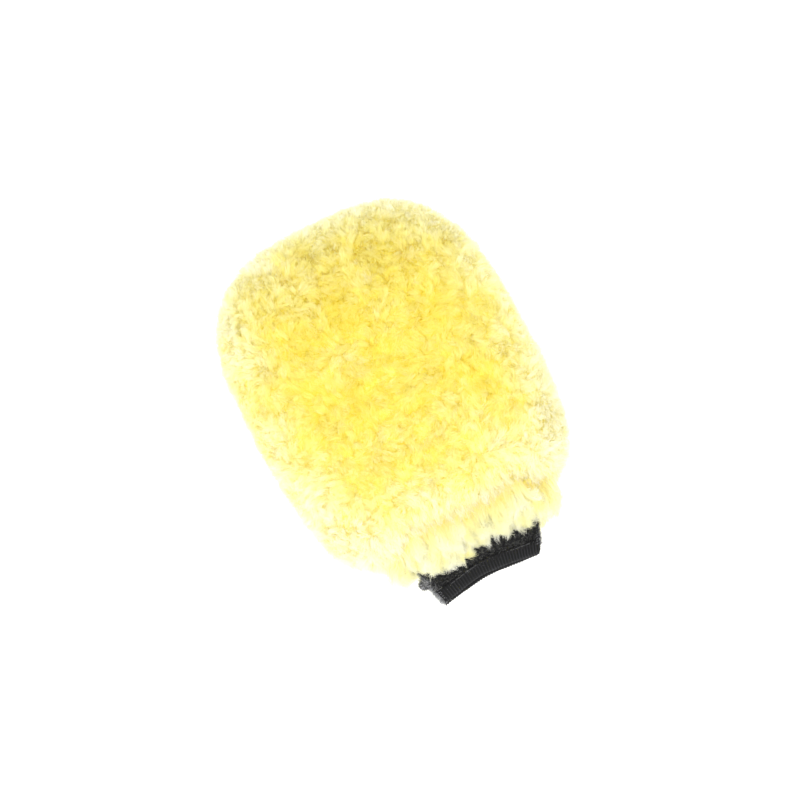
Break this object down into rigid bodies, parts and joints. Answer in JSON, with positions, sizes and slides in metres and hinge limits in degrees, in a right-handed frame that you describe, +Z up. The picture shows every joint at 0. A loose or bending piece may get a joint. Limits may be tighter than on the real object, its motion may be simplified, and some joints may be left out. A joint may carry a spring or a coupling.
{
  "type": "wash mitt",
  "caption": "Plush wool wash mitt: two deep-pile panels sewn round a lined hand pocket, with a short tapered black knit cuff that has a ribbed hem band.",
  "frame": {"origin": "middle of the footprint on the rest surface, where the mitt lies on its palm side", "axes": "+X across the hand, +Y from the cuff towards the fingertips, +Z up from the rest surface through the palm and the back of the hand"},
  "size_m": [0.206, 0.28, 0.0702],
  "materials": {
    "wool": "matte",
    "backing": "matte",
    "cream_thread": "matte",
    "lining": "satin",
    "lining_thread": "matte",
    "black_thread": "matte",
    "cuff_knit": "matte",
    "ribbed_band": "satin",
    "grey_thread": "matte",
    "overlock_thread": "matte"
  },
  "bodies": {
    "mitt": {"top_fleece": "wool", "bottom_fleece": "wool", "top_backing": "backing", "bottom_backing": "backing", "perimeter_seam": "cream_thread", "top_lining": "lining", "bottom_lining": "lining", "lining_seam": "lining_thread", "cuff_join_seam": "black_thread"},
    "cuff": {"cuff_top_panel": "cuff_knit", "cuff_bottom_panel": "cuff_knit", "top_hem_band": "ribbed_band", "bottom_hem_band": "ribbed_band", "top_hem_stitch": "grey_thread", "bottom_hem_stitch": "grey_thread", "cuff_left_overlock": "overlock_thread", "cuff_right_overlock": "overlock_thread", "seam_tail": "overlock_thread"}
  },
  "joints": [
    {"name": "cuff_flex", "type": "hinge", "parent": "mitt", "child": "cuff", "pos_m": [0, -0.0956, 0.0331], "axis": [1, 0, 0], "range_deg": [-30, 30], "stiffness_Nm_per_rad": 0.02}
  ]
}
